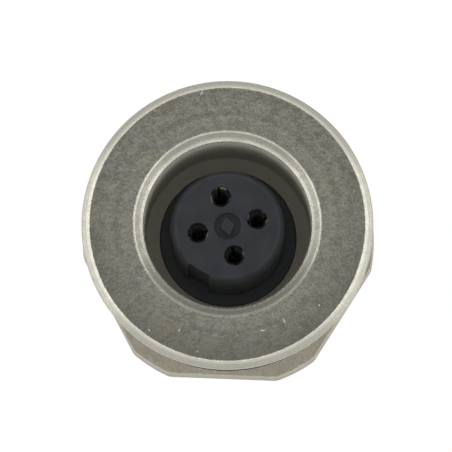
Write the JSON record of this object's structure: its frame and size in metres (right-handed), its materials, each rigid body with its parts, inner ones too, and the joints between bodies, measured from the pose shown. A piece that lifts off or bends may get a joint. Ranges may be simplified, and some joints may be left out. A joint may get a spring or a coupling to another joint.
{
  "type": "panel-mount circular sensor connector, four-contact socket",
  "caption": "Panel-mount M12 circular socket: turned flange shell with smooth bore, keyed black insert with gold contacts, seal, washer and hexagon lock nut.",
  "frame": {"origin": "on the connector's axis, in the plane of the flange seat", "axes": "+Z along the axis towards the mating face; the coding keyway lies at 238 degrees about +Z from +X"},
  "size_m": [0.022, 0.0216, 0.0194],
  "materials": {
    "nickel": "tumbled nickel plate on brass, finely speckled",
    "black_rubber": "matte moulded rubber",
    "zinc_steel": "bright zinc plate",
    "black_nylon": "fine matte moulded nylon",
    "grey_nylon": "matte moulded nylon",
    "gold_plate": "gold flash on turned brass",
    "spring_steel": "bright rolled steel"
  },
  "bodies": {
    "socket": {"shell": "nickel", "panel_seal": "black_rubber", "insert": "black_nylon", "insert_seal": "black_rubber", "contact_1": "gold_plate", "contact_2": "gold_plate", "contact_3": "gold_plate", "contact_4": "gold_plate", "contact_spring_1": "spring_steel", "contact_spring_2": "spring_steel", "contact_spring_3": "spring_steel", "contact_spring_4": "spring_steel", "contact_retainer": "grey_nylon", "clamp_ring": "nickel"},
    "washer": {"lock_washer": "zinc_steel"},
    "nut": {"lock_nut": "nickel"}
  },
  "joints": [
    {"name": "nut_travel", "type": "slide", "parent": "socket", "child": "washer", "axis": [0, 0, 1], "range_m": [-0.00751, 0.00361]},
    {"name": "nut_turn", "type": "hinge", "parent": "washer", "child": "nut", "pos_m": [0, 0, 0], "axis": [0, 0, 1], "range_deg": [-1800, 864]}
  ],
  "couplings": [
    {"joint": "nut_travel", "follows": "nut_turn", "m_per_rad": 0.00023873}
  ]
}
